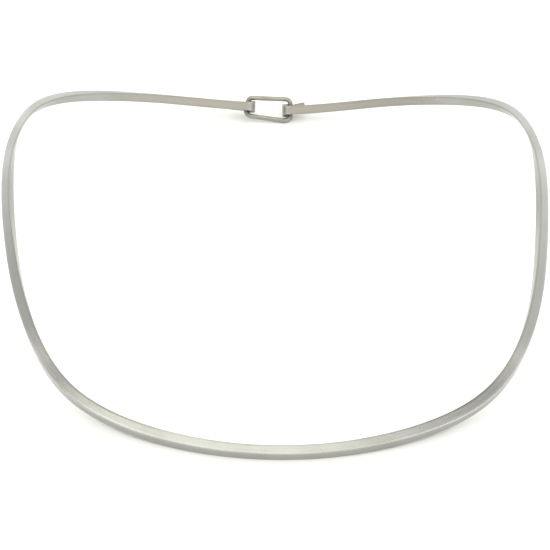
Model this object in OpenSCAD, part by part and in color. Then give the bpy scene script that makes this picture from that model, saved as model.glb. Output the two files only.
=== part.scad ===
// Rigid collar necklace: one bent bar of silver that lies round the neck, its back ends joined by a wire link.
// The model lies on a table: the front arc and the link touch z = 0, the sides rise over the shoulders, the
// front looks along -Y and the origin is under the middle. Sizes are in millimetres.

/* [Bar] */
// Width of the bar's upper face at the front
front_width = 2.6; // [2.3:0.1:2.9]
// Width of the bar's upper face along the back
back_width = 1.8; // [1.5:0.1:2.1]
// Width of the bar's upper face where it is bent into the eye and the hook
tip_width = 1.3; // [1.1:0.1:1.4]
// Height of the bar, from its upper face to its underside, all the way round
bar_height = 2.3; // [2:0.1:2.6]
// Radius of the bar's rounded edges
edge_radius = 0.25; // [0.1:0.05:0.4]

/* [Clasp] */
// Diameter of the link's wire
wire_d = 1.2; // [1:0.1:1.3]
// Gap between the link's wire and the bar that is bent round it
play = 0.3; // [0.27:0.01:0.35]
// How far left of the ring's middle the wire goes through the eye
eye_offset = 7; // [6:0.2:9]
// How far right of the ring's middle the wire goes through the hook
hook_offset = 4.4; // [3:0.2:6]
// Length of the hook's free leg
hook_leg = 3.8; // [2:0.1:5]
// How far the tip of the hook's free leg stands above the bar
hook_rise = 0.9; // [0:0.1:1.2]
// How far the eye is rolled, in degrees
eye_turn = 205; // [195:5:220]
// How much higher than the bar the back of the eye is hammered out
eye_flare = 0.9; // [0:0.1:1]
// How much higher than the bar the back of the hook is hammered out
hook_flare = 1.2; // [0:0.1:1.4]

/* [Smoothness] */
// Sections along the bar, from the eye to the hook
bar_steps = 180; // [100:20:200]
// Points on each rounded edge of the bar
edge_points = 3; // [2:1:4]

/* [Hidden] */

// Columns of the guide table
LEFT = 0;
RIGHT = 1;
BACK = 2;
UP = 3;
LEAN = 4;

// The bar's middle line is a smooth curve drawn by these guide points, from the middle of the front round each
// side to the middle of the back. Each row is how far the point of the left and of the right side is from the
// middle plane, how far behind the front it is, how high, and how many degrees the upper face leans outward.
// The two sides are bent by hand and differ a little.
guide = [
  // left, right, back, up, lean
  [0, 0, -1, 0.16, 9],
  [23, 23, 2, 0.16, 9],
  [48.5, 49.5, 13, 2, 12],
  [58.5, 59.5, 31, 11.5, 11],
  [63, 62.5, 51.5, 17, 20],
  [65.5, 64.5, 74, 22, 38],
  [64.5, 64, 97, 19.5, -48],
  [57.5, 57.5, 115, 14, -16],
  [30, 30, 124.5, 6, 46],
  [0, 0, 124, 1.4, 35],
];
last = len(guide) - 1;

// The left end of the bar stands this far above the last guide point, and the right end this far below it
end_step = 0.8;

// Where the origin is, from the middle plane to the left and behind the front of the middle line
origin_left = 0.4;
origin_back = 63.45;

// The bar narrows from front to back and again at the clasp, between these shares of the way round a side
back_taper = [0.2, 0.85];
tip_taper = [0.85, 0.95];

// Corners of the link's middle line, before rounding, in the link's own plane
link_corners = [
  // along from the ring's middle, up from the wire's middle in the eye and the hook, radius of the bend
  [-eye_offset + 0.3, 2.3, 1],
  [-eye_offset - 0.9, -2.4, 1.8],
  [hook_offset + 0.4, -2.95, 1.7],
  [hook_offset - 0.2, 2.85, 1.3],
];

// A bent end is hammered out and gets back to the bar's height between these shares of the way to its tip
flare_start = [0.1, 0.35];
flare_end = [0.45, 0.62];
// The hook's leg climbs between these
climb = [0.35, 1];

hook_turn = 180;
bend_step = 15;
bend_radius = wire_d / 2 + play + tip_width / 2;
// The eye's end leg is rolled in until it is this far from the bar's outer side
eye_gap = 0.15;
eye_leg = (bend_radius * (1 - cos(eye_turn)) - eye_gap - tip_width / 2 * (1 - cos(eye_turn))) / -sin(eye_turn);
epsilon = 0.001;

function unit(v) = v / norm(v);
function smooth(t) = let (c = min(max(t, 0), 1)) c * c * (3 - 2 * c);
function share_of(range, t) = (t - range[0]) / (range[1] - range[0]);

// Guide point i, below 0 on the left side and above 0 on the right. Past the back it is one of the other side.
function guide_point(i) =
  let (
    k = abs(i) > last ? 2 * last - abs(i) : abs(i),
    left_side = abs(i) > last ? i > 0 : i < 0,
    across = left_side ? -guide[k][LEFT] : guide[k][RIGHT],
    step = k == last ? -sign(i) * end_step : 0
  )
  [across + origin_left, guide[k][BACK] - origin_back, guide[k][UP] + step + bar_height / 2, guide[k][LEAN]];

// Point and lean on the uniform cubic B-spline of the guide points
function on_curve(u) =
  let (
    k = floor(u),
    f = u - k,
    a = pow(1 - f, 3) / 6,
    b = (3 * pow(f, 3) - 6 * pow(f, 2) + 4) / 6,
    c = (-3 * pow(f, 3) + 3 * pow(f, 2) + 3 * f + 1) / 6,
    d = pow(f, 3) / 6
  )
  a * guide_point(k - 1) + b * guide_point(k) + c * guide_point(k + 1) + d * guide_point(k + 2);

function place(u) = let (p = on_curve(u)) [p[0], p[1], p[2]];
function lean_at(u) = on_curve(u)[3];

// The bar's frame at u: along the bar, toward the neck, and out of the upper face
function frame_at(u) =
  let (
    along = unit(place(u + epsilon) - place(u - epsilon)),
    level = unit(cross([0, 0, 1], along)),
    top = cross(along, level),
    lean = lean_at(u)
  )
  [along, level * cos(lean) + top * sin(lean), top * cos(lean) - level * sin(lean)];

function width_at(u) =
  let (share = abs(u) / last)
  front_width
    + (back_width - front_width) * smooth(share_of(back_taper, share))
    + (tip_width - back_width) * smooth(share_of(tip_taper, share));

// A rectangle with rounded edges, as offsets toward the neck and out of the upper face
function outline(w, h) =
  [
    for (corner = [0:3], i = [0:edge_points - 1])
      let (
        angle = corner * 90 + i * 90 / (edge_points - 1),
        x = (corner == 0 || corner == 3 ? 1 : -1) * (w / 2 - edge_radius),
        y = (corner < 2 ? 1 : -1) * (h / 2 - edge_radius)
      )
      [x + edge_radius * cos(angle), y + edge_radius * sin(angle)],
  ];

function section(middle, neckward, upward, w, h = bar_height) =
  [for (p = outline(w, h)) middle + p[0] * neckward + p[1] * upward];

// Where the bar starts to bend round the wire, at the eye and at the hook
u_eye = eye_offset / guide[last - 1][LEFT] - last;
u_hook = last - hook_offset / guide[last - 1][RIGHT];

// One section of a bent end: after a turn round the wire and a run along the straight leg
function bent_section(u, way, turn, run, rise, h) =
  let (
    f = frame_at(u),
    along = way * f[0],
    middle = place(u) + along * (bend_radius * sin(turn) + run * cos(turn))
      - f[1] * (bend_radius * (1 - cos(turn)) + run * sin(turn)) + f[2] * rise
  )
  section(middle, f[1] * cos(turn) + along * sin(turn), f[2], tip_width, h);

function flare_at(share) = smooth(share_of(flare_start, share)) * (1 - smooth(share_of(flare_end, share)));

// Sections of the bar's end, bent away from the neck round the link's wire and led on by a straight leg.
// way is 1 at the end that the curve runs to and -1 at its start; rise is how far the tip climbs.
function bent_end(u, way, turn, leg, rise, flare) =
  let (
    steps = ceil(turn / bend_step),
    bend_length = bend_radius * turn * PI / 180,
    bend_share = bend_length / (bend_length + leg),
    // turn, run and share of the way to the tip
    stops = concat(
      [for (i = [1:steps]) [turn * i / steps, 0, bend_share * i / steps]],
      [for (part = [0.25:0.25:1]) [turn, leg * part, bend_share + (1 - bend_share) * part]]
    )
  )
  [
    for (s = stops)
      bent_section(u, way, s[0], s[1], rise * smooth(share_of(climb, s[2])), bar_height + flare * flare_at(s[2])),
  ];

function reversed(list) = [for (i = [len(list) - 1:-1:0]) list[i]];

// A closed skin over sections that all have the same number of points
module skin(rings) {
  n = len(rings[0]);
  side_faces = [
    for (r = [0:len(rings) - 2], i = [0:n - 1])
      let (j = (i + 1) % n)
      each [[r * n + i, (r + 1) * n + i, r * n + j], [r * n + j, (r + 1) * n + i, (r + 1) * n + j]],
  ];
  start_face = [for (i = [0:n - 1]) i];
  end_face = [for (i = [n - 1:-1:0]) (len(rings) - 1) * n + i];
  polyhedron(points = [for (ring = rings) each ring], faces = concat(side_faces, [start_face, end_face]));
}

module neck_bar() {
  rings = concat(
    reversed(bent_end(u_eye, -1, eye_turn, eye_leg, 0, eye_flare)),
    [
      for (i = [0:bar_steps])
        let (u = u_eye + (u_hook - u_eye) * i / bar_steps, f = frame_at(u))
        section(place(u), f[1], f[2], width_at(u)),
    ],
    bent_end(u_hook, 1, hook_turn, hook_leg, hook_rise, hook_flare)
  );
  color("silver") skin(rings);
}

// A closed loop of wire in the XY plane, through corners that are listed anticlockwise as x, y, bend radius
module wire_loop(corners) {
  n = len(corners);
  spots = [for (c = corners) [c[0], c[1]]];
  before = [for (i = [0:n - 1]) unit(spots[(i + n - 1) % n] - spots[i])];
  after = [for (i = [0:n - 1]) unit(spots[(i + 1) % n] - spots[i])];
  opening = [for (i = [0:n - 1]) acos(before[i] * after[i])];
  trim = [for (i = [0:n - 1]) corners[i][2] / tan(opening[i] / 2)];
  for (i = [0:n - 1]) {
    radius = corners[i][2];
    centre = spots[i] + unit(before[i] + after[i]) * radius / sin(opening[i] / 2);
    start = spots[i] + before[i] * trim[i] - centre;
    translate(centre)
      rotate([0, 0, atan2(start[1], start[0])])
        rotate_extrude(angle = 180 - opening[i], $fn = 96)
          translate([radius, 0]) circle(d = wire_d, $fn = 48);
    side = norm(spots[(i + 1) % n] - spots[i]) - trim[i] - trim[(i + 1) % n];
    translate(spots[i] + after[i] * trim[i])
      rotate([0, 0, atan2(after[i][1], after[i][0])])
        rotate([0, 90, 0]) cylinder(h = side, d = wire_d, $fn = 48);
  }
}

// The middle of the wire that the bar's end is bent round
function wire_middle(u) = place(u) - frame_at(u)[1] * bend_radius;

module clasp_link() {
  eye = wire_middle(u_eye);
  hook = wire_middle(u_hook);
  along = unit(hook - eye);
  facing = unit(cross(along, frame_at(last)[2]));
  up = cross(facing, along);
  middle = eye + along * norm(hook - eye) * eye_offset / (eye_offset + hook_offset);
  color("silver")
    multmatrix([
      [along[0], up[0], facing[0], middle[0]],
      [along[1], up[1], facing[1], middle[1]],
      [along[2], up[2], facing[2], middle[2]],
      [0, 0, 0, 1],
    ])
      wire_loop(link_corners);
}

neck_bar();
clasp_link();
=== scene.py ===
"""Rigid silver collar necklace, lying on a pale studio floor."""
import math

import bpy
from mathutils import Matrix, Vector


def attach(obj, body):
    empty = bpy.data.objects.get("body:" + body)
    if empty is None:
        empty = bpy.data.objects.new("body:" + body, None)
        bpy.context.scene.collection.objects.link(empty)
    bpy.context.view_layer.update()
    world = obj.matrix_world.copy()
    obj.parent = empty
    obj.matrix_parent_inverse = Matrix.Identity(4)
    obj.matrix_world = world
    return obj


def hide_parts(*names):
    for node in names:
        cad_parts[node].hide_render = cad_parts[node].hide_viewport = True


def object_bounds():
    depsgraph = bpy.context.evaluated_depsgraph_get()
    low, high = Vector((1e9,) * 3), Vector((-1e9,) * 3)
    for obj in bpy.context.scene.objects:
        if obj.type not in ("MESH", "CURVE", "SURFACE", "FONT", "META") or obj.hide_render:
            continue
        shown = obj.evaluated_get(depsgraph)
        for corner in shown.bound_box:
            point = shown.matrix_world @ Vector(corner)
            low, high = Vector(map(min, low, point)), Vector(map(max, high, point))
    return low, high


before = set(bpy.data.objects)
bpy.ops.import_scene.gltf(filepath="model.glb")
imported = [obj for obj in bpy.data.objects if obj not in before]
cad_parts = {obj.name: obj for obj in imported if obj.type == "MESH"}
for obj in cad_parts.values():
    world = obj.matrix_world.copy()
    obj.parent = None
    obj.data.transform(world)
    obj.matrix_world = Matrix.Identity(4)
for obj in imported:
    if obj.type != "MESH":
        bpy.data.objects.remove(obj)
cad_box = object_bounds()

MM = 0.001

# The bar, in millimetres
FRONT_WIDTH = 2.6
BACK_WIDTH = 1.8
TIP_WIDTH = 1.3
BAR_HEIGHT = 2.3
EDGE_RADIUS = 0.18
# It narrows from front to back and again at the clasp, between these shares of the way round a side
BACK_TAPER = (0.2, 0.85)
TIP_TAPER = (0.85, 0.95)

# The guide points of the bar's middle line, from the middle of the front to the middle of the back: how far
# the left and the right side are from the middle plane, how far behind the front, how high, and how many
# degrees the upper face leans outward
GUIDE = [
    # left, right, back, up, lean
    (0, 0, -1, 0.16, 9),
    (23, 23, 2, 0.16, 9),
    (48.5, 49.5, 13, 2, 12),
    (58.5, 59.5, 31, 11.5, 11),
    (63, 62.5, 51.5, 17, 20),
    (65.5, 64.5, 74, 22, 38),
    (64.5, 64, 97, 19.5, -48),
    (57.5, 57.5, 115, 14, -16),
    (30, 30, 124.5, 6, 46),
    (0, 0, 124, 1.4, 35),
]
LAST = len(GUIDE) - 1
# The left end stands this far above the last guide point, and the right end this far below it
END_STEP = 0.8
# Where the origin is, from the middle plane to the left and behind the front of the middle line
ORIGIN_LEFT = 0.4
ORIGIN_BACK = 63.45

# The clasp, in millimetres and degrees
WIRE_D = 1.2
PLAY = 0.3
EYE_OFFSET = 7
HOOK_OFFSET = 4.4
HOOK_LEG = 3.8
HOOK_RISE = 0.9
HOOK_TURN = 180
EYE_TURN = 205
EYE_GAP = 0.15
BEND_RADIUS = WIRE_D / 2 + PLAY + TIP_WIDTH / 2
# How much higher than the bar the back of the eye and of the hook is, and between which shares of the way to
# the tip it gets so and back
EYE_FLARE = 0.9
HOOK_FLARE = 1.2
FLARE_START = (0.1, 0.35)
FLARE_END = (0.45, 0.62)
# The hook's leg climbs between these shares
CLIMB = (0.35, 1)
ROUNDED_TIP = 0.3

# Where the bar starts to bend round the wire, at the eye and at the hook, on the middle line
U_EYE = EYE_OFFSET / GUIDE[LAST - 1][0] - LAST
U_HOOK = LAST - HOOK_OFFSET / GUIDE[LAST - 1][1]

# How finely the bar is drawn: sections along the whole of it and along a straight leg, degrees between the
# sections of a bend, the angles of those of a rounded tip, and points on each rounded edge and flat face
BAR_STEPS = 560
LEG_STEPS = 8
BEND_STEP = 6
TIP_ANGLES = (22.5, 45, 67.5, 85)
CORNER_POINTS = 7
FLAT_POINTS = 3
# The step on the middle line, in guide points, that gives its direction
DIRECTION_STEP = 0.001

# How strongly each long edge is painted: above 0 a painted highlight, below 0 a painted dark line of shade,
# and
# at the clasp stain with painted shade: neckward upper, outer upper, outer lower, then neckward lower
EDGE_PAINTED_LIGHT = (-1, 1, 0.5, -0.5)
# At the eye and the hook: painted highlights on the neckward edges, stain and painted shade on the outer
# edges
CLASP_STAIN_AND_PAINTED_LIGHT = (0.3, -0.3, -0.3, 0.3)
# The painted highlights and dark lines on the edges show most where the front turns into the sides: this
# many guide points from the middle, give or take the reach
PAINTED_LIGHT_AT = 1.7
PAINTED_LIGHT_REACH = 1
LEAST_PAINTED_LIGHT = 0.3
# The bar is duller toward the clasp, between these shares of the way round a side
DULL_FROM = (0.75, 0.95)


def smooth(t):
    """From 0 to 1 as t goes from 0 to 1, level at both ends."""
    t = min(max(t, 0.0), 1.0)
    return t * t * (3 - 2 * t)


def share_of(limits, t):
    """How far t is from the first limit to the second, as a share."""
    return (t - limits[0]) / (limits[1] - limits[0])


def guide_point(i):
    """Guide point i: below 0 on the left side, above 0 on the right. Past the back is the other side."""
    k = 2 * LAST - abs(i) if abs(i) > LAST else abs(i)
    left_side = i > 0 if abs(i) > LAST else i < 0
    left, right, back, up, lean = GUIDE[k]
    across = -left if left_side else right
    step = math.copysign(END_STEP, -i) if k == LAST else 0
    return Vector((across + ORIGIN_LEFT, back - ORIGIN_BACK, up + step + BAR_HEIGHT / 2, lean))


def on_curve(u):
    """The middle line's point and lean at u, from a uniform cubic B-spline."""
    k = math.floor(u)
    f = u - k
    weights = (
        (1 - f) ** 3 / 6,
        (3 * f ** 3 - 6 * f ** 2 + 4) / 6,
        (-3 * f ** 3 + 3 * f ** 2 + 3 * f + 1) / 6,
        f ** 3 / 6,
    )
    total = Vector((0, 0, 0, 0))
    for i, weight in enumerate(weights):
        total += weight * guide_point(k - 1 + i)
    return total


def place(u):
    return on_curve(u).to_3d()


def frame_at(u):
    """Along the bar, toward the neck, and out of the upper face."""
    along = (place(u + DIRECTION_STEP) - place(u - DIRECTION_STEP)).normalized()
    level = Vector((0, 0, 1)).cross(along).normalized()
    top = along.cross(level)
    lean = math.radians(on_curve(u)[3])
    neckward = level * math.cos(lean) + top * math.sin(lean)
    upward = top * math.cos(lean) - level * math.sin(lean)
    return along, neckward, upward


def width_at(u):
    share = abs(u) / LAST
    width = FRONT_WIDTH + (BACK_WIDTH - FRONT_WIDTH) * smooth(share_of(BACK_TAPER, share))
    return width + (TIP_WIDTH - BACK_WIDTH) * smooth(share_of(TIP_TAPER, share))


def painted_edge_light_at(u):
    """How strongly the four edges are painted light or dark at u."""
    amount = max(smooth(1 - abs(abs(u) - PAINTED_LIGHT_AT) / PAINTED_LIGHT_REACH), LEAST_PAINTED_LIGHT)
    return [painted_light_and_stain * amount for painted_light_and_stain in EDGE_PAINTED_LIGHT]


def outline(width, height, painted_lights_and_stains):
    """Points round the bar's section: offset toward the neck, offset upward, outward direction, painted edge
    light (and stain at the clasp).
    """
    points = []
    corners = ((1, 1), (-1, 1), (-1, -1), (1, -1))
    for c, (sx, sy) in enumerate(corners):
        x = sx * (width / 2 - EDGE_RADIUS)
        y = sy * (height / 2 - EDGE_RADIUS)
        for i in range(CORNER_POINTS):
            angle = math.radians(90 * (c + i / (CORNER_POINTS - 1)))
            out = (math.cos(angle), math.sin(angle))
            points.append((x + EDGE_RADIUS * out[0], y + EDGE_RADIUS * out[1], out, painted_lights_and_stains[c]))
        next_sx, next_sy = corners[(c + 1) % 4]
        following = (next_sx * (width / 2 - EDGE_RADIUS), next_sy * (height / 2 - EDGE_RADIUS))
        for i in range(1, FLAT_POINTS + 1):
            share = i / (FLAT_POINTS + 1)
            points.append((
                x + (following[0] - x) * share + EDGE_RADIUS * out[0],
                y + (following[1] - y) * share + EDGE_RADIUS * out[1],
                out,
                0.0,
            ))
    return points


# The marks on the bar are laid out by its length, in units of 100 mm, and by the turn round its section
LENGTH_UNIT = 100


class Sweep:
    """Collects sections of the bar and joins them into one mesh."""

    def __init__(self):
        self.rings = []
        # How far along the bar each ring is, in millimetres
        self.runs = []
        self.run = 0.0
        self.middle = None

    def add(self, middle, neckward, upward, width, height=BAR_HEIGHT, painted_lights_and_stains=CLASP_STAIN_AND_PAINTED_LIGHT, dull=1.0):
        if self.middle is not None:
            self.run += (middle - self.middle).length
        self.middle = middle
        self.runs.append(self.run)
        ring = []
        for x, y, out, painted_light_and_stain in outline(width, height, painted_lights_and_stains):
            spot = middle + x * neckward + y * upward
            normal = (out[0] * neckward + out[1] * upward).normalized()
            ring.append((spot, normal, painted_light_and_stain, dull))
        self.rings.append(ring)

    def mesh(self, name):
        count = len(self.rings[0])
        final = (len(self.rings) - 1) * count
        spots, normals, painted_lights_and_stains, dulls = zip(*[point for ring in self.rings for point in ring])
        faces = []
        for start in range(0, final, count):
            for i in range(count):
                j = (i + 1) % count
                faces.append((start + i, start + j, start + count + j, start + count + i))
        sides = len(faces)
        faces.append(tuple(range(count - 1, -1, -1)))
        faces.append(tuple(range(final, final + count)))
        mesh = bpy.data.meshes.new(name)
        mesh.from_pydata([spot * MM for spot in spots], [], faces)
        mesh.shade_smooth()
        for end_face in mesh.polygons[sides:]:
            end_face.use_smooth = False
        for attribute, amounts in (("painted_light_and_stain", painted_lights_and_stains), ("dull", dulls)):
            values = mesh.attributes.new(attribute, "FLOAT", "POINT")
            values.data.foreach_set("value", amounts)
        uv = mesh.uv_layers.new(name="along")
        loop_normals = []
        for face in mesh.polygons:
            is_side = face.index < sides
            closes_ring = is_side and face.index % count == count - 1
            for loop in face.loop_indices:
                vertex = mesh.loops[loop].vertex_index
                ring, point = divmod(vertex, count)
                turn = count if closes_ring and point == 0 else point
                uv.data[loop].uv = (self.runs[ring] / LENGTH_UNIT, turn / count)
                loop_normals.append(tuple(normals[vertex] if is_side else face.normal))
        mesh.normals_split_custom_set(loop_normals)
        return mesh


def flare_at(share):
    return smooth(share_of(FLARE_START, share)) * (1 - smooth(share_of(FLARE_END, share)))


def bent_sections(u, way, turn, leg, rise, flare):
    """Sections of a bent end: round the wire, then along its straight leg, which ends in a rounded tip."""
    along, neckward, upward = frame_at(u)
    along = along * way
    bend_length = BEND_RADIUS * math.radians(turn)

    def section(angle, run, shrink=0.0):
        a = math.radians(angle)
        share = (BEND_RADIUS * a + run) / (bend_length + leg)
        middle = (
            place(u)
            + along * (BEND_RADIUS * math.sin(a) + run * math.cos(a))
            - neckward * (BEND_RADIUS * (1 - math.cos(a)) + run * math.sin(a))
            + upward * rise * smooth(share_of(CLIMB, share))
        )
        height = BAR_HEIGHT + flare * flare_at(share) - shrink
        return middle, neckward * math.cos(a) + along * math.sin(a), upward, TIP_WIDTH - shrink, height

    steps = math.ceil(turn / BEND_STEP)
    straight = leg - ROUNDED_TIP
    sections = [section(turn * i / steps, 0) for i in range(1, steps + 1)]
    sections += [section(turn, straight * i / LEG_STEPS) for i in range(1, LEG_STEPS + 1)]
    for angle in TIP_ANGLES:
        a = math.radians(angle)
        shrink = 2 * ROUNDED_TIP * (1 - math.cos(a))
        sections.append(section(turn, straight + ROUNDED_TIP * math.sin(a), shrink))
    return sections


def make_bar():
    eye_turn = math.radians(EYE_TURN)
    closing = 1 - math.cos(eye_turn)
    eye_leg = (BEND_RADIUS * closing - EYE_GAP - TIP_WIDTH / 2 * closing) / -math.sin(eye_turn)
    eye = bent_sections(U_EYE, way=-1, turn=EYE_TURN, leg=eye_leg, rise=0, flare=EYE_FLARE)
    hook = bent_sections(U_HOOK, way=1, turn=HOOK_TURN, leg=HOOK_LEG, rise=HOOK_RISE, flare=HOOK_FLARE)
    sweep = Sweep()
    for section in reversed(eye):
        sweep.add(*section)
    for i in range(BAR_STEPS + 1):
        u = U_EYE + (U_HOOK - U_EYE) * i / BAR_STEPS
        _, neckward, upward = frame_at(u)
        dull = smooth(share_of(DULL_FROM, abs(u) / LAST))
        sweep.add(place(u), neckward, upward, width_at(u), painted_lights_and_stains=painted_edge_light_at(u), dull=dull)
    for section in hook:
        sweep.add(*section)
    bar = bpy.data.objects.new("bar", sweep.mesh("bar"))
    bpy.context.scene.collection.objects.link(bar)
    return bar


# The colour sockets of a mix node
MIX_FIRST = 6
MIX_SECOND = 7
MIX_RESULT = 2
# How strongly every bump shows
BUMP_STRENGTH = 0.3


class Nodes:
    """Short calls for building a node tree."""

    def __init__(self, tree):
        self.tree = tree
        tree.nodes.clear()

    def add(self, kind, **values):
        node = self.tree.nodes.new(kind)
        for key, value in values.items():
            setattr(node, key, value)
        return node

    def link(self, source, target):
        self.tree.links.new(source, target)

    def math(self, operation, a, b, clamp=False):
        """A sum or product of a and b; each is a number or a socket."""
        node = self.add("ShaderNodeMath", operation=operation, use_clamp=clamp)
        for socket, value in zip(node.inputs, (a, b)):
            if hasattr(value, "links"):
                self.link(value, socket)
            else:
                socket.default_value = value
        return node.outputs[0]

    def ramp(self, value, low, high, to_low=0.0, to_high=1.0):
        """Smoothly from to_low, where value is low, to to_high, where it is high."""
        node = self.add("ShaderNodeMapRange", interpolation_type="SMOOTHSTEP")
        self.link(value, node.inputs["Value"])
        node.inputs["From Min"].default_value = low
        node.inputs["From Max"].default_value = high
        node.inputs["To Min"].default_value = to_low
        node.inputs["To Max"].default_value = to_high
        return node.outputs["Result"]

    def mix(self, share, first, second):
        """Colours first and second by share; each is a colour or a socket."""
        node = self.add("ShaderNodeMix", data_type="RGBA")
        self.link(share, node.inputs["Factor"])
        for socket, value in ((node.inputs[MIX_FIRST], first), (node.inputs[MIX_SECOND], second)):
            if hasattr(value, "links"):
                self.link(value, socket)
            else:
                socket.default_value = (*value, 1)
        return node.outputs[MIX_RESULT]

    def noise(self, vector, scale, detail, stretch=(1, 1, 1)):
        mapping = self.add("ShaderNodeMapping")
        mapping.inputs["Scale"].default_value = stretch
        self.link(vector, mapping.inputs["Vector"])
        node = self.add("ShaderNodeTexNoise")
        node.inputs["Scale"].default_value = scale
        node.inputs["Detail"].default_value = detail
        self.link(mapping.outputs["Vector"], node.inputs["Vector"])
        return node.outputs["Fac"]

    def bump(self, height, distance, below=None):
        node = self.add("ShaderNodeBump")
        node.inputs["Strength"].default_value = BUMP_STRENGTH
        node.inputs["Distance"].default_value = distance
        self.link(height, node.inputs["Height"])
        if below is not None:
            self.link(below, node.inputs["Normal"])
        return node.outputs["Normal"]


# Colours of the metal and the paper
SILVER = (0.405, 0.4, 0.388)
# A painted highlight on the bar's edges
PAINTED_HIGHLIGHT_SILVER = (0.6, 0.595, 0.57)
TARNISH = (0.36, 0.345, 0.31)
# Stain and painted shade: dark lines painted on the bar's edges, and the clasp where the wire passes
STAIN_AND_PAINTED_SHADE = (0.2, 0.185, 0.16)
LINK_SILVER = (0.34, 0.325, 0.29)
LINK_TARNISH = (0.3, 0.285, 0.25)
PAPER_LOW = (0.9, 0.9, 0.9)
PAPER_HIGH = (0.92, 0.92, 0.92)

# Marks along the bar
MARKS = {
    # repeats in a unit of length, repeats in a turn round the section, detail, depth in metres
    "ripples": (9, 3, 1, 0.0004),
    "streaks": (6, 90, 6, 0.00005),
    "hairlines": (14, 420, 2, 0.00002),
}
GRAIN_DEPTH = 0.00003

# How often the spots of tarnish, the grain of the wire and the tooth of the paper repeat in a metre
BAR_BLOTCHES = 90
LINK_BLOTCHES = 350
LINK_GRAIN = 2500
PAPER_TOOTH = 800
BLOTCH_DETAIL = 4
GRAIN_DETAIL = 3

# Between which values of the noise the edges get their painted highlight and the metal gets tarnished or
# rough
PAINTED_HIGHLIGHT_BETWEEN = (0.35, 0.6)
BAR_TARNISHED_BETWEEN = (0.4, 0.75)
LINK_TARNISHED_BETWEEN = (0.35, 0.7)
ROUGH_BETWEEN = (0.3, 0.7)
# How tarnished the bar is in its blotches, and how much more near the clasp
BLOTCH_AMOUNT = 0.5
CLASP_AMOUNT = 0.7

# Roughness from the smoothest to the roughest spot, and what full tarnish adds to it on the bar
BAR_ROUGHNESS = (0.14, 0.22)
TARNISH_ROUGHNESS = 0.18
LINK_ROUGHNESS = (0.32, 0.46)
PAPER_ROUGHNESS = 0.9
PAPER_SPECULAR = 0.1

# The link's stain and painted shade starts and is full this far from the middle of the eye and of the hook,
# in metres
STAIN_AND_SHADE_WITHIN = (0.0028, 0.0014)


def new_material(name):
    """A material, its node tree and its shader, which is linked to the output."""
    material = bpy.data.materials.new(name)
    material.use_nodes = True
    n = Nodes(material.node_tree)
    shader = n.add("ShaderNodeBsdfPrincipled")
    out = n.add("ShaderNodeOutputMaterial")
    n.link(shader.outputs[0], out.inputs["Surface"])
    return material, n, shader


def bar_material():
    """Polished silver: fine marks along the bar, soft blotches of tarnish, painted highlights and painted
    dark lines on the edges, stain with painted shade at the clasp.
    """
    material, n, shader = new_material("bar_silver")
    uv = n.add("ShaderNodeUVMap", uv_map="along").outputs["UV"]
    place_on = n.add("ShaderNodeTexCoord").outputs["Object"]
    marks = {}
    normal = None
    for name, (along, across, detail, depth) in MARKS.items():
        marks[name] = n.noise(uv, 1, detail, (along, across, 1))
        normal = n.bump(marks[name], depth, normal)
    blotches = n.noise(place_on, BAR_BLOTCHES, BLOTCH_DETAIL)
    painted_light_and_stain = n.add("ShaderNodeAttribute", attribute_name="painted_light_and_stain").outputs["Fac"]
    # Painted highlights on the edges, where the edge value is above 0
    painted_highlight = n.math("MULTIPLY", painted_light_and_stain, n.ramp(marks["streaks"], *PAINTED_HIGHLIGHT_BETWEEN), clamp=True)
    # Painted shade on the edges where the value is below 0, with stain at the clasp
    stain_and_painted_shade = n.math("MULTIPLY", painted_light_and_stain, -1, clamp=True)
    near_clasp = n.add("ShaderNodeAttribute", attribute_name="dull").outputs["Fac"]
    blotched = n.math("MULTIPLY", n.ramp(blotches, *BAR_TARNISHED_BETWEEN), BLOTCH_AMOUNT)
    dull = n.math("ADD", blotched, n.math("MULTIPLY", near_clasp, CLASP_AMOUNT), clamp=True)
    colour = n.mix(painted_highlight, n.mix(dull, SILVER, TARNISH), PAINTED_HIGHLIGHT_SILVER)
    colour = n.mix(stain_and_painted_shade, colour, STAIN_AND_PAINTED_SHADE)
    streaked = n.ramp(marks["streaks"], *ROUGH_BETWEEN, *BAR_ROUGHNESS)
    roughness = n.math("ADD", streaked, n.math("MULTIPLY", dull, TARNISH_ROUGHNESS))
    n.link(colour, shader.inputs["Base Color"])
    shader.inputs["Metallic"].default_value = 1
    n.link(roughness, shader.inputs["Roughness"])
    n.link(normal, shader.inputs["Normal"])
    return material


def wire_middle(u):
    """The middle of the wire that the bar's end is bent round, in metres."""
    _, neckward, _ = frame_at(u)
    return (place(u) - neckward * BEND_RADIUS) * MM


def link_material():
    """Silver wire, tarnished in blotches, with stain and painted shade inside the eye and the hook."""
    material, n, shader = new_material("link_silver")
    place_on = n.add("ShaderNodeTexCoord").outputs["Object"]
    blotches = n.noise(place_on, LINK_BLOTCHES, BLOTCH_DETAIL)
    grain = n.noise(place_on, LINK_GRAIN, GRAIN_DETAIL)
    colour = n.mix(n.ramp(blotches, *LINK_TARNISHED_BETWEEN), LINK_SILVER, LINK_TARNISH)
    # Stain and painted shade on the wire where it passes through the eye and the hook
    for u in (U_EYE, U_HOOK):
        distance = n.add("ShaderNodeVectorMath", operation="DISTANCE")
        n.link(place_on, distance.inputs[0])
        distance.inputs[1].default_value = wire_middle(u)
        colour = n.mix(n.ramp(distance.outputs["Value"], *STAIN_AND_SHADE_WITHIN), colour, STAIN_AND_PAINTED_SHADE)
    n.link(colour, shader.inputs["Base Color"])
    shader.inputs["Metallic"].default_value = 1
    n.link(n.ramp(blotches, *ROUGH_BETWEEN, *LINK_ROUGHNESS), shader.inputs["Roughness"])
    n.link(n.bump(grain, GRAIN_DEPTH), shader.inputs["Normal"])
    return material


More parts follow.
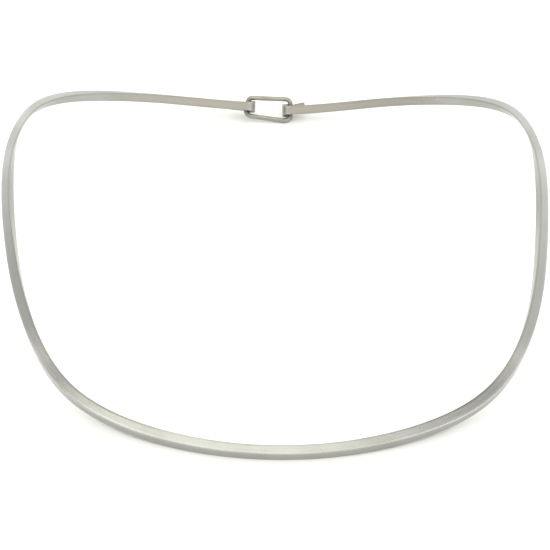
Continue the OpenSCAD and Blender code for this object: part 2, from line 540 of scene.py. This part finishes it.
def floor_material():
    """Pale matt paper with a very fine tooth."""
    material, n, shader = new_material("paper")
    place_on = n.add("ShaderNodeTexCoord").outputs["Object"]
    tooth = n.noise(place_on, PAPER_TOOTH, GRAIN_DETAIL)
    n.link(n.mix(tooth, PAPER_LOW, PAPER_HIGH), shader.inputs["Base Color"])
    shader.inputs["Roughness"].default_value = PAPER_ROUGHNESS
    shader.inputs["Specular IOR Level"].default_value = PAPER_SPECULAR
    return material


# Half the width of the floor, in metres
FLOOR_HALF = 1.5


def make_floor():
    mesh = bpy.data.meshes.new("floor")
    h = FLOOR_HALF
    mesh.from_pydata([(-h, -h, 0), (h, -h, 0), (h, h, 0), (-h, h, 0)], [], [(0, 1, 2, 3)])
    floor = bpy.data.objects.new("floor", mesh)
    floor.location.z = cad_box[0][2]
    floor.data.materials.append(floor_material())
    bpy.context.scene.collection.objects.link(floor)


# The camera looks at a point a little in front of the ring's middle, from the photograph's angle. Lengths
# are in millimetres, angles in degrees.
CAMERA_AIM = (-0.605, -37.416, 31.068)
CAMERA_AZIMUTH = -1.45
CAMERA_ELEVATION = 40.99
CAMERA_ROLL = 1.52
CAMERA_DISTANCE = 490.35
CAMERA_LENS = 144
CAMERA_SENSOR = 36
CAMERA_CLIP = 10


def make_camera():
    azimuth = math.radians(CAMERA_AZIMUTH)
    elevation = math.radians(CAMERA_ELEVATION)
    roll = math.radians(CAMERA_ROLL)
    back = Vector((
        math.sin(azimuth) * math.cos(elevation),
        -math.cos(azimuth) * math.cos(elevation),
        math.sin(elevation),
    ))
    right = Vector((0, 0, 1)).cross(back).normalized()
    up = back.cross(right)
    turned_right = right * math.cos(roll) + up * math.sin(roll)
    turned_up = up * math.cos(roll) - right * math.sin(roll)
    data = bpy.data.cameras.new("camera")
    data.lens = CAMERA_LENS
    data.sensor_width = CAMERA_SENSOR
    data.clip_start = CAMERA_CLIP * MM
    camera = bpy.data.objects.new("camera", data)
    axes = Matrix((turned_right, turned_up, back)).transposed().to_4x4()
    spot = (Vector(CAMERA_AIM) + back * CAMERA_DISTANCE) * MM
    camera.matrix_world = Matrix.Translation(spot) @ axes
    bpy.context.scene.collection.objects.link(camera)
    bpy.context.scene.camera = camera


# The room is evenly pale, with broad soft glows. X is right, Y is behind the ring and Z is up.
ROOM_COLOUR = (0.8, 0.81, 0.78)
GLOWS = [
    # toward, cosine of the angle where it starts, cosine where it is full, colour
    ((1, 0, 0), 0, 0.4, (0.31, 0.32, 0.3)),
    ((-1, 0, 0), 0.05, 0.45, (0.1, 0.11, 0.1)),
    ((0, -1, 0), 0.2, 0.7, (0.2, 0.16, 0.13)),
    ((0, 0.94, 0.34), 0.74, 0.9, (0.22, 0.23, 0.22)),
    ((-0.5, 0.8, 0.33), 0.75, 0.95, (0.4, 0.42, 0.43)),
    ((0.5, 0.8, 0.33), 0.75, 0.95, (0.29, 0.31, 0.32)),
]


def make_world():
    world = bpy.data.worlds.new("room")
    world.use_nodes = True
    bpy.context.scene.world = world
    n = Nodes(world.node_tree)
    direction = n.add("ShaderNodeTexCoord").outputs["Generated"]
    room = n.add("ShaderNodeBackground")
    room.inputs["Color"].default_value = (*ROOM_COLOUR, 1)
    light = room.outputs[0]
    for toward, start, full, colour in GLOWS:
        cosine = n.add("ShaderNodeVectorMath", operation="DOT_PRODUCT")
        n.link(direction, cosine.inputs[0])
        cosine.inputs[1].default_value = toward
        glow = n.add("ShaderNodeBackground")
        glow.inputs["Color"].default_value = (*colour, 1)
        n.link(n.ramp(cosine.outputs["Value"], start, full), glow.inputs["Strength"])
        both = n.add("ShaderNodeAddShader")
        n.link(light, both.inputs[0])
        n.link(glow.outputs[0], both.inputs[1])
        light = both.outputs[0]
    out = n.add("ShaderNodeOutputWorld")
    n.link(light, out.inputs["Surface"])


# The side and front softboxes are this far from the origin, in metres
SOFTBOX_DISTANCE = 0.8


def around(azimuth, elevation):
    """Where a softbox is; azimuth runs from behind the ring toward the right."""
    a = math.radians(azimuth)
    e = math.radians(elevation)
    return SOFTBOX_DISTANCE * Vector((math.sin(a) * math.cos(e), math.cos(a) * math.cos(e), math.sin(e)))


SOFTBOXES = [
    # name, centre, aim, size, radiance, turn in degrees
    ("top_softbox", (0, 0.088, 0.25), (0, 0.088, 0), (0.18, 0.11), (1.24, 1.25, 1.11), 42),
    ("left_softbox", around(-108, 44), (0, 0, 0), (0.35, 0.35), (2.6, 2.6, 2.6), 0),
    ("right_softbox", around(108, 44), (0, 0, 0), (0.35, 0.35), (1.4, 1.4, 1.4), 0),
    ("front_softbox", around(180, 68), (0, 0, 0), (0.5, 0.42), (1.5, 1.46, 1.34), 0),
]


def make_softbox(name, centre, aim, size, radiance, turn):
    """A panel of light that the camera doesn't see itself. Its energy makes its colour its radiance."""
    data = bpy.data.lights.new(name, "AREA")
    data.shape = "RECTANGLE"
    data.size, data.size_y = size
    data.energy = math.pi * data.size * data.size_y
    data.color = radiance
    lamp = bpy.data.objects.new(name, data)
    lamp.location = centre
    facing = (Vector(aim) - Vector(centre)).to_track_quat("-Z", "Y").to_matrix()
    lamp.rotation_euler = (facing @ Matrix.Rotation(math.radians(turn), 3, "Z")).to_euler()
    lamp.visible_camera = False
    bpy.context.scene.collection.objects.link(lamp)


make_camera()
make_floor()
make_world()
for softbox in SOFTBOXES:
    make_softbox(*softbox)

bar = make_bar()
bar.data.materials.append(bar_material())
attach(bar, "root")
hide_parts("neck_bar")

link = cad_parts["clasp_link"]
link.data.materials.clear()
link.data.materials.append(link_material())

bpy.context.scene.view_settings.view_transform = "Standard"
